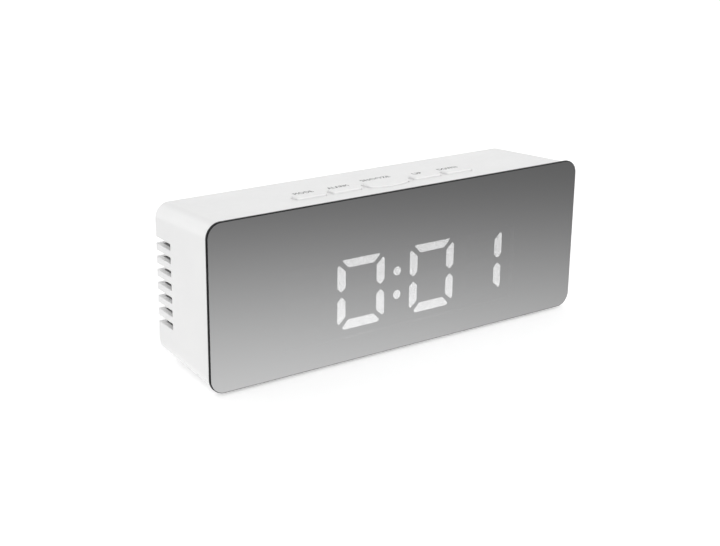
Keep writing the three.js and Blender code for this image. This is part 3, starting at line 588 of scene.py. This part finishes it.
def back_openings():
    """Door seat, jack pocket and screw wells, each with a rounded rim."""
    cutter = bmesh.new()
    mouth(lambda draw: door_outline(draw - 0.3), DEPTH - DOOR_SEAT, 0.25, on_back, cutter)
    mouth(lambda draw: jack_outline(6.2 - draw, 4.0 - draw, 1.4, 6), 0.8, 0.25, on_back, cutter)
    for x in (-CASE_SCREW_X, CASE_SCREW_X):
        for z in (-CASE_SCREW_Z, CASE_SCREW_Z):
            def outline(draw, x=x, z=z):
                return circle(SCREW_WELL_RADIUS - draw, 40, (x, z))

            mouth(outline, 2.6, 0.25, on_back, cutter)
    return cutter


def back_passages():
    """What goes on through the back wall behind the wells: the bay's mouth and the jack's."""
    cutter = bmesh.new()
    prism(bay_outline(), -5.0, 1.5, on_back, cutter)
    prism(jack_outline(4.0, 1.65, 0.8, 6), -4.0, 1.0, on_back, cutter)
    return cutter


def latch_pocket():
    return mouth(latch_room, 8.0, 0.2, on_back)


def hook_slots():
    """Room behind the door's seat for its two hooks to sit in and swing."""
    cutter = bmesh.new()
    half = HOOK_HALF_WIDTH + HOOK_ROOM
    for x in (-HOOK_X, HOOK_X):
        prism(box_points(35.7, 38.2, -20.4, -16.3), x - half, x + half, along_width, cutter)
    return cutter


def case():
    cuts = [side_vents(), back_vents(), button_holes(), back_openings(), back_passages(), latch_pocket(),
            hook_slots()]
    piece("case_shell", case_shell(), "case", WHITE, ["housing"], 30, cuts)


def battery_tub():
    """The bay's own walls and floor, behind the back wall."""
    outer = rounded(BAY_HALF_WIDTH + BAY_WALL, BAY_HALF_HEIGHT + BAY_WALL, 1.2, 4)
    tub = prism(outer, BAY_FLOOR - BAY_WALL, DEPTH - SHELL_WALL - 0.05, along_depth)
    cavity = prism(bay_outline(), BAY_FLOOR, DEPTH + 1, along_depth)
    pocket = prism(latch_room(), 32.1, DEPTH, along_depth)
    piece("battery_tub", tub, "case", WHITE, [], 30, [cavity, pocket, hook_slots()])


def cradle_ribs():
    """Low ribs on the bay's floor that keep the cells in their rows."""
    ribs = bmesh.new()
    for z in (-CELL_PITCH / 2, CELL_PITCH / 2):
        for x in (-12.0, 12.0):
            section = [(BAY_FLOOR - 0.05, z - 0.9), (BAY_FLOOR - 0.05, z + 0.9),
                       (BAY_FLOOR + 1.9, z + 0.25), (BAY_FLOOR + 1.9, z - 0.25)]
            prism(section, x - 1.2, x + 1.2, along_width, ribs)
    piece("bay_ribs", ribs, "case", WHITE)


def screw_bosses():
    """Turned collars behind the back wall, with a seat for each screw's head."""
    bosses = bmesh.new()
    top, seat, well = 37.45, CASE_SCREW_SEAT, SCREW_WELL_RADIUS
    profile = [(34.5, 1.6), (34.5, 4.3), (top, 4.3), (top, well), (seat, well), (seat, 1.6)]
    for x in (-CASE_SCREW_X, CASE_SCREW_X):
        for z in (-CASE_SCREW_Z, CASE_SCREW_Z):
            def around(u, v, h, x=x, z=z):
                return (x + u, h, z + v)

            ring_body(profile, around, bosses)
    piece("screw_bosses", bosses, "case", WHITE)


def ring_body(profile, surface, into, sides=40):
    """A turned ring: profile is (height, radius) pairs that close on themselves."""
    rings = [[into.verts.new(place(surface(u, v, h))) for u, v in circle(r, sides)] for h, r in profile]
    faces = []
    for near, far in zip(rings, rings[1:] + rings[:1]):
        for j in range(sides):
            k = (j + 1) % sides
            faces.append(into.faces.new((near[j], near[k], far[k], far[j])))
    bmesh.ops.recalc_face_normals(into, faces=faces)


# ---- Mirror and display ------------------------------------------------------------------------


def mirror():
    """The front panel: mirror coat in front, painted chamfer and edge, a black border behind."""
    def ring(y, inward, radius=None):
        r = PANEL_RADIUS - inward if radius is None else radius
        return [(u, y, v) for u, v in rounded(HALF_WIDTH - inward, HALF_HEIGHT - inward, r, 14)]

    body = bmesh.new()
    rings = [
        [(u, PANEL_THICK, v + DISPLAY_Z)
         for u, v in rounded(WINDOW_HALF_WIDTH, WINDOW_HALF_HEIGHT, 1.5, 14)],
        ring(PANEL_THICK, 0.15),
        ring(PANEL_THICK - 0.15, 0.0),
        ring(PANEL_CHAMFER, 0.0),
        ring(PANEL_CHAMFER * 0.3, PANEL_CHAMFER * 0.3),
        ring(0.0, PANEL_CHAMFER),
    ]
    loft(rings, body)
    body.faces.ensure_lookup_table()
    for face in body.faces:
        face.material_index = 1
    body.faces[0].material_index = 2
    body.faces[1].material_index = 0
    materials = [half_mirror(), EDGE, clear_back()]
    piece("mirror_glass", body, "case", materials, ["mirror_panel"], 20)


def strokes():
    """Outlines of a digit's seven strokes, each counter-clockwise about the digit's centre."""
    a, b, t = DIGIT_HALF_WIDTH, DIGIT_HALF_HEIGHT, STROKE
    top = [(-7.35, b), (-8.05, b - 0.8), (-5.45, b - t), (5.45, b - t), (8.05, b - 0.8), (7.35, b)]
    left = [(-a, b - 2.85), (-a, b - 10.5), (-a + t / 2, b - 12.1), (-a + t, b - 10.5), (-a + t, b - 4.6),
            (-a + 0.7, b - 2.15)]
    middle = [(-7.3, 0), (-5.65, -t / 2), (5.65, -t / 2), (7.3, 0), (5.65, t / 2), (-5.65, t / 2)]

    def flipped(points, su, sv):
        turned = [(u * su, v * sv) for u, v in points]
        return turned[::-1] if su * sv < 0 else turned

    return {"a": top, "b": flipped(left, -1, 1), "c": flipped(left, -1, -1), "d": flipped(top, 1, -1),
            "e": flipped(left, 1, -1), "f": left, "g": middle}


def softened(points, radius, steps=3):
    """The outline with each corner replaced by a small arc."""
    soft = []
    count = len(points)
    for i, here in enumerate(points):
        p, before, after = Vector(here), Vector(points[i - 1]), Vector(points[(i + 1) % count])
        reach_in = min(radius, (before - p).length * 0.45)
        reach_out = min(radius, (after - p).length * 0.45)
        start = p + (before - p).normalized() * reach_in
        end = p + (after - p).normalized() * reach_out
        for step in range(steps + 1):
            t = step / steps
            soft.append(tuple((1 - t) ** 2 * start + 2 * t * (1 - t) * p + t * t * end))
    return soft


def drawn_in(points, gap):
    """The outline shrunk about its centre by a gap on every side."""
    us, vs = [u for u, _ in points], [v for _, v in points]
    cu, cv = (min(us) + max(us)) / 2, (min(vs) + max(vs)) / 2
    su = 1 - 2 * gap / (max(us) - min(us))
    sv = 1 - 2 * gap / (max(vs) - min(vs))
    return [(cu + (u - cu) * su, cv + (v - cv) * sv) for u, v in points]


def light_guides():
    """One milky block for each stroke and dot; only the lit ones glow."""
    lit, unlit = lit_stroke(), unlit_stroke()
    for name, x in DIGITS.items():
        node = f"light_guide_{name}"
        for letter, outline in strokes().items():
            moved = [(u + x, v + DISPLAY_Z) for u, v in softened(outline, STROKE_CORNER)]

            def shape(draw, moved=moved):
                return drawn_in(moved, draw)

            body = slab(shape, -GUIDE_BACK, -DISPLAY_FACE, GUIDE_EDGE, facing_front)
            material = lit if letter in SHOWN[name] else unlit
            piece(f"{node}_{letter}", body, "case", material, [node])
    for side, name in ((1, "upper"), (-1, "lower")):
        at = (0.0, DISPLAY_Z + side * COLON_OFFSET)

        def dot(draw, at=at):
            return circle(COLON_RADIUS - draw, 36, at)

        body = slab(dot, -GUIDE_BACK, -DISPLAY_FACE, GUIDE_EDGE, facing_front)
        piece(f"light_guide_dot_{name}", body, "case", lit, ["light_guide_colon"])


# ---- Buttons -----------------------------------------------------------------------------------


def button(name):
    """A cap with a retaining skirt, a rounded rim and a slightly crowned top."""
    skirt = [(24.2, -1.0), (25.3, -1.0), (25.4, -0.9)]
    wall = [(25.4, 0.0)]
    edge = 0.3
    rim = [(BUTTON_TOP - 0.12 - edge + rise, draw) for rise, draw in fillet(edge, 5)]
    crown = [(BUTTON_TOP - 0.05, edge + 0.5), (BUTTON_TOP, edge + 1.0)]
    rings = []
    for height, inward in [*skirt, *wall, *rim, *crown]:
        rings.append([(u, v, height) for u, v in button_outline(name, inward)])
    piece(f"{name}_cap", loft(rings), f"{name}_key", BUTTON_WHITE, [f"{name}_button"], 30)


def label(text, x, depth, width):
    """A printed word that lies on the sloping top, behind its button."""
    curve = bpy.data.curves.new(text.lower(), "FONT")
    curve.body = text
    curve.space_character = 1.08
    curve.extrude = 0.006
    curve.bevel_depth = 0.01
    curve.bevel_resolution = 0
    curve.resolution_u = 6
    drawn = bpy.data.objects.new("drawn", curve)
    bpy.context.scene.collection.objects.link(drawn)
    graph = bpy.context.evaluated_depsgraph_get()
    mesh = bpy.data.meshes.new_from_object(drawn.evaluated_get(graph))
    bpy.data.objects.remove(drawn)
    body = bmesh.new()
    body.from_mesh(mesh)
    bmesh.ops.remove_doubles(body, verts=body.verts, dist=0.0001)
    us, vs = [vert.co.x for vert in body.verts], [vert.co.y for vert in body.verts]
    middle = Vector(((min(us) + max(us)) / 2, (min(vs) + max(vs)) / 2))
    grow_u, grow_v = width / (max(us) - min(us)), LABEL_HEIGHT / (max(vs) - min(vs))
    for vert in body.verts:
        u, v = (vert.co.x - middle.x) * grow_u, (vert.co.y - middle.y) * grow_v
        vert.co = place(on_top(u + x, v + depth, 0.006 + vert.co.z))
    piece(f"label_{text.lower()}", body, "case", INK, [], 30)


# ---- Battery door and what is behind it --------------------------------------------------------


def battery_door():
    """A flat door with two hooks at its lower edge, a bent latch at its top and a ribbed finger grip."""
    body = slab(door_outline, -DOOR_THICK, 0.0, 0.3, on_back, edge_low=0.15)
    grip = bmesh.new()
    for row in range(-2, 3):
        z = 10 + row * 1.9

        def groove(draw, z=z):
            return rounded(7.0 - draw, 0.45 - draw, 0.4, 5, (0, z))

        mouth(groove, 0.45, 0.15, on_back, grip)
    notch = mouth(lambda draw: rounded(4.6 - draw, 1.2 - draw, 0.4, 4, (0, 18.6)), 2.5, 0.15, on_back)
    piece("door_panel", body, "door", WHITE, ["battery_door"], 30, [grip, notch])
    hooks = bmesh.new()
    for x in (-HOOK_X, HOOK_X):
        section = [(36.6, -19.6), (37.9, -19.6), (37.95, -16.7), (36.6, -16.7)]
        low, high = x - HOOK_HALF_WIDTH, x + HOOK_HALF_WIDTH
        prism(softened(section, 0.3), low, high, along_width, hooks)
    piece("door_hooks", hooks, "door", WHITE, ["battery_door"])
    latch = prism(latch_section(), -LATCH_HALF_WIDTH, LATCH_HALF_WIDTH, along_width)
    piece("door_latch", latch, "door", WHITE, ["battery_door"])


def latch_section():
    """A U of sheet: in from the door, round a bend, and out again as the finger tab."""
    centre, inner, outer = (34.2, 18.9), 0.9, 1.9

    def arc(radius):
        turns = [math.radians(-90 - 180 * i / 10) for i in range(11)]
        return [(centre[0] + radius * math.cos(a), centre[1] + radius * math.sin(a)) for a in turns]

    outside = [(37.9, 17.0), *arc(outer), (38.6, 20.8), (38.9, 20.5)]
    inside = [(38.9, 19.8), *arc(inner)[::-1], (37.9, 18.0)]
    return outside + inside


def cell(name, z, plus):
    """An AAA cell: rolled shoulders, a raised plus cap and a flat minus end."""
    r, length = CELL_RADIUS, CELL_LENGTH
    shoulder = length - 0.8
    minus_end = [(0.0, 3.4), (0.15, 3.7), (0.15, 4.3), (0.0, r - 0.75), (0.25, r - 0.25), (0.7, r)]
    can = [(1.0, r), (1.15, r - 0.12), (1.3, r)]
    plus_can = [(shoulder - 1.3, r), (shoulder - 1.15, r - 0.12), (shoulder - 1.0, r), (shoulder - 0.6, r)]
    top = [(shoulder - 0.2, r - 0.25), (shoulder, r - 0.75), (shoulder - 0.2, r - 1.1),
           (shoulder - 0.25, 2.4)]
    nub = [(shoulder - 0.1, 2.1), (length - 0.25, 1.9), (length, 1.65)]
    profile = [*minus_end, *can, *plus_can, *top, *nub]

    def along(u, v, h):
        return (plus * (PLUS_END - length + h), CELL_DEPTH + u, z + v)

    body = lathe(profile, along, 48)
    piece(f"{name}_cell", body, "case", JACKETS[plus], [name], 40)


def contact(name, side, rows, springs, tab=None):
    """A nickel plate at one end of the bay, with a coil spring for each cell's flat end."""
    body = bmesh.new()
    low, high = min(rows) * CELL_PITCH - PLATE_HALF, max(rows) * CELL_PITCH + PLATE_HALF

    def on_end(u, v, h):
        return (side * (PLATE_FACE + h), u, v)

    outline = rounded(PLATE_HALF, (high - low) / 2, 0.8, 4, (CELL_DEPTH, (low + high) / 2))
    prism(outline, 0.0, PLATE_THICK, on_end, body)
    for row in rows:
        def on_plate(u, v, h, z=row * CELL_PITCH):
            return (side * (PLATE_FACE - h), CELL_DEPTH + u, z + v)

        if row in springs:
            tube(spring_path(side, row * CELL_PITCH), 0.32, 8, body)
        else:
            lathe([(-0.2, 1.7), (0.05, 1.5), (0.2, 1.0), (0.25, 0.4)], on_plate, 24, body)
    if tab is not None:
        z = tab * CELL_PITCH
        prism(box_points(21.2, CELL_DEPTH, z - 1.5, z + 1.5), 0.0, PLATE_THICK, on_end, body)
    piece(f"{name}_contact", body, "case", SPRING, [name])


def spring_path(side, z):
    """A narrowing coil from a plate's face to the cell's flat end."""
    turns, steps, wide, narrow = 4.5, 120, 3.7, 1.9
    minus_end = CELL_LENGTH - PLUS_END
    reach = PLATE_FACE - minus_end - 0.95
    points = []
    for i in range(steps + 1):
        share = i / steps
        turn = share * turns * 2 * math.pi
        radius = wide + (narrow - wide) * share
        x = side * (PLATE_FACE - 0.3 - reach * share)
        points.append((x, CELL_DEPTH + radius * math.cos(turn), z + radius * math.sin(turn)))
    return points


# ---- Screws, jack, feet ------------------------------------------------------------------------


def screw(name, x, z):
    """A pan-head screw with a cross recess, deep in its well."""
    def along(u, v, h):
        return (x + u, CASE_SCREW_SEAT + h, z + v)

    profile = [(-10.0, 0.4), (-9.2, 1.0), (-9.0, 1.3), (0.0, 1.3), (0.0, 2.5), (0.25, 2.58), (0.9, 2.5),
               (1.35, 2.2), (1.65, 1.6), (1.8, 0.8)]
    cross = []
    for wide, narrow in ((0.32, 1.5), (1.5, 0.32)):
        rings = []
        for height, grow in ((0.5, 0.55), (1.2, 0.85), (2.6, 1.15)):
            u, v = wide * grow, narrow * grow
            rings.append([along(*point, height) for point in box_points(-u, u, -v, v)])
        cross.append(loft(rings))
    body = lathe(profile, along, 40)
    piece(f"{name}_pan", body, "case", SCREW, [name], 40, cross)


def jack():
    """The socket's drawn-steel shell and the contact pads on its tongue."""
    outer = jack_outline(JACK_HALF_WIDTH, JACK_HALF_HEIGHT, 0.7, 8)
    shell = prism(outer, JACK_FRONT, JACK_BACK, along_depth)
    inner = jack_outline(JACK_HALF_WIDTH - JACK_WALL, JACK_HALF_HEIGHT - JACK_WALL, 0.5, 8)
    hollow = prism(inner, JACK_FRONT + JACK_WALL, JACK_BACK + 1.3, along_depth)
    piece("jack_can", shell, "case", STEEL, ["jack_shell"], 35, [hollow])
    pads = bmesh.new()
    for pin in range(-2, 3):
        x = JACK_X + pin * 0.65
        prism(box_points(x - 0.18, x + 0.18, 32.6, 36.0), JACK_Z - 0.16, JACK_Z - 0.11, upright, pads)
    piece("jack_pads", pads, "case", metal("gold_pads", (0.85, 0.6, 0.25), 0.25))


def foot(name):
    """A round rubber pad with a soft lower rim; its top follows the sloping underside."""
    low, high = (corner * 1000 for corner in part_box(name))
    x, y = (low.x + high.x) / 2, (low.y + high.y) / 2 - FRONT
    radius = (high.x - low.x) / 2

    def disc(u, v, h):
        top = -HALF_HEIGHT + case_inset(y + v) - 0.05
        return (x + u, y + v, GROUND + (top - GROUND) * h)

    rim = [(0.0, radius - 0.6), (0.06, radius - 0.25), (0.2, radius - 0.05), (0.35, radius)]
    profile = [*rim, (1.0, radius)]
    piece(f"{name}_pad", lathe(profile, disc, 48), "case", FOOT, [name], 50)


# ---- Materials of the CAD nodes that stay -------------------------------------------------------


def dress(material, *names):
    for name in names:
        node = frame["nodes"][name]
        node.data.materials.clear()
        node.data.materials.append(material)


def dress_inner_parts():
    board = circuit_board()
    dress(BLACK, "front_frame", "segment_reflector")
    dress(rubber("foam_tape", (0.02, 0.02, 0.02), 0.9), "mirror_tape")
    dress(smoke_film(), "display_film")
    dress(board, "main_board", "key_board", "power_board")
    dress(DARK, "controller_chip", "filter_capacitor", "buzzer", "jack_tongue")
    dress(STEEL, "crystal", *[f"{name}_switch" for name in BUTTONS])
    dress(DARK, *[f"{name}_plunger" for name in BUTTONS])
    for owner in ("key_board", "power_board"):
        dress(SCREW, f"{owner}_screw_1", f"{owner}_screw_2")
    dress(rubber("red_wire", (0.45, 0.02, 0.015), 0.45), "battery_lead_red")
    dress(rubber("black_wire", (0.015, 0.015, 0.015), 0.45), "battery_lead_black")
    dress(rubber("grey_wire", (0.32, 0.32, 0.33), 0.45), "power_lead", "key_ribbon")


# ---- Stage -------------------------------------------------------------------------------------

FLOOR_HALF = 40.0  # metres
SKY_LIGHT, HORIZON_LIGHT = 0.70, 1.15
NEAR_TABLE, FAR_TABLE, UNDER_TABLE = 1.06, 0.17, 0.75  # light that mirrors see below the horizon


def floor():
    mesh = bpy.data.meshes.new("floor")
    corners = [(x, y, 0) for x, y in box_points(-FLOOR_HALF, FLOOR_HALF, -FLOOR_HALF, FLOOR_HALF)]
    mesh.from_pydata(corners, [], [(0, 1, 2, 3)])
    obj = bpy.data.objects.new("floor", mesh)
    bpy.context.scene.collection.objects.link(obj)
    paper = Shader("floor_paper", (0.95, 0.95, 0.95), 0.9, Emission_Strength=0.24)
    paper.shader.inputs["Emission Color"].default_value = (1, 1, 1, 1)
    mesh.materials.append(paper.material)
    obj.visible_glossy = False


def world():
    """Even studio light from above. Below the horizon only mirror reflections see the world: it is
    bright near the clock's foot and falls off with distance, as a lit table does."""
    scene_world = bpy.data.worlds.new("studio")
    bpy.context.scene.world = scene_world
    scene_world.use_nodes = True
    nodes, links = scene_world.node_tree.nodes, scene_world.node_tree.links
    coords = nodes.new("ShaderNodeTexCoord")
    tilt = nodes.new("ShaderNodeVectorMath")
    tilt.operation = "DOT_PRODUCT"
    tilt.inputs[1].default_value = (-0.07, 0.0, 1.0)  # up, leaning a little
    spread = nodes.new("ShaderNodeMapRange")
    spread.inputs["From Min"].default_value = -1.0
    ramp = nodes.new("ShaderNodeValToRGB")
    ramp.color_ramp.interpolation = "EASE"
    levels = [(-1.0, UNDER_TABLE), (-0.5, NEAR_TABLE), (-0.26, FAR_TABLE), (-0.2, FAR_TABLE),
              (-0.1, HORIZON_LIGHT), (0.3, HORIZON_LIGHT), (0.45, SKY_LIGHT), (1.0, SKY_LIGHT)]
    elements = ramp.color_ramp.elements
    while len(elements) < len(levels):
        elements.new(1.0)
    for element, (height, level) in zip(elements, levels):
        element.position = (height + 1) / 2
        element.color = (level, level, level, 1)
    links.new(coords.outputs["Generated"], tilt.inputs[0])
    links.new(tilt.outputs["Value"], spread.inputs["Value"])
    links.new(spread.outputs["Result"], ramp.inputs["Fac"])
    links.new(ramp.outputs["Color"], nodes["Background"].inputs["Color"])


def lights():
    """A broad key from the front, and a small soft box behind that draws a line of light along the
    case's rounded upper edges."""
    sun = bpy.data.lights.new("key", "SUN")
    sun.energy = 1.3
    sun.angle = math.radians(60)
    key = bpy.data.objects.new("key", sun)
    key.rotation_euler = Vector((0.15, 0.85, -0.4)).to_track_quat("-Z", "Y").to_euler()
    key.visible_glossy = False  # or the mirror would show its disc
    bpy.context.scene.collection.objects.link(key)
    area = bpy.data.lights.new("rim", "AREA")
    area.energy = 0.45
    area.size = 0.22
    rim = bpy.data.objects.new("rim", area)
    away = Vector((-0.3, 0.76, 0.54))
    rim.location = place((0, 0, 0)) + away * 0.9
    rim.rotation_euler = (-away).to_track_quat("-Z", "Y").to_euler()
    bpy.context.scene.collection.objects.link(rim)


def camera():
    """Stands to the left of the clock and looks down on it."""
    data = bpy.data.cameras.new("camera")
    data.lens = 66.43
    data.sensor_width = 36.0
    obj = bpy.data.objects.new("camera", data)
    yaw, pitch, roll = math.radians(36.19), math.radians(18.25), math.radians(0.7)
    ahead = Vector((math.sin(yaw) * math.cos(pitch), math.cos(yaw) * math.cos(pitch), -math.sin(pitch)))
    turn = ahead.to_track_quat("-Z", "Y").to_matrix().to_4x4()
    stand = Matrix.Translation(place((-275.2, -347.8, 144.4)))
    obj.matrix_world = stand @ turn @ Matrix.Rotation(roll, 4, "Z")
    data.clip_start = 0.01
    bpy.context.scene.collection.objects.link(obj)
    bpy.context.scene.camera = obj


camera()
case()
battery_tub()
cradle_ribs()
screw_bosses()
mirror()
light_guides()
for button_name in BUTTONS:
    button(button_name)
for word, (label_x, label_depth, label_width) in LABELS.items():
    label(word, label_x, label_depth, label_width)
battery_door()
cell("battery_top", CELL_PITCH, -1)
cell("battery_middle", 0.0, 1)
cell("battery_bottom", -CELL_PITCH, -1)
contact("terminal_positive", -1, [1], [], tab=1)
contact("terminal_negative", 1, [-1], [-1], tab=-1)
contact("bridge_left", -1, [-1, 0], [0])
contact("bridge_right", 1, [0, 1], [1])
for number, (screw_x, screw_z) in enumerate([(-1, -1), (-1, 1), (1, -1), (1, 1)], 1):
    screw(f"case_screw_{number}", screw_x * CASE_SCREW_X, screw_z * CASE_SCREW_Z)
jack()
for foot_name in ("foot_front_left", "foot_front_right", "foot_back_left", "foot_back_right"):
    foot(foot_name)
dress_inner_parts()
floor()
world()
lights()
bpy.context.scene.view_settings.view_transform = "Standard"
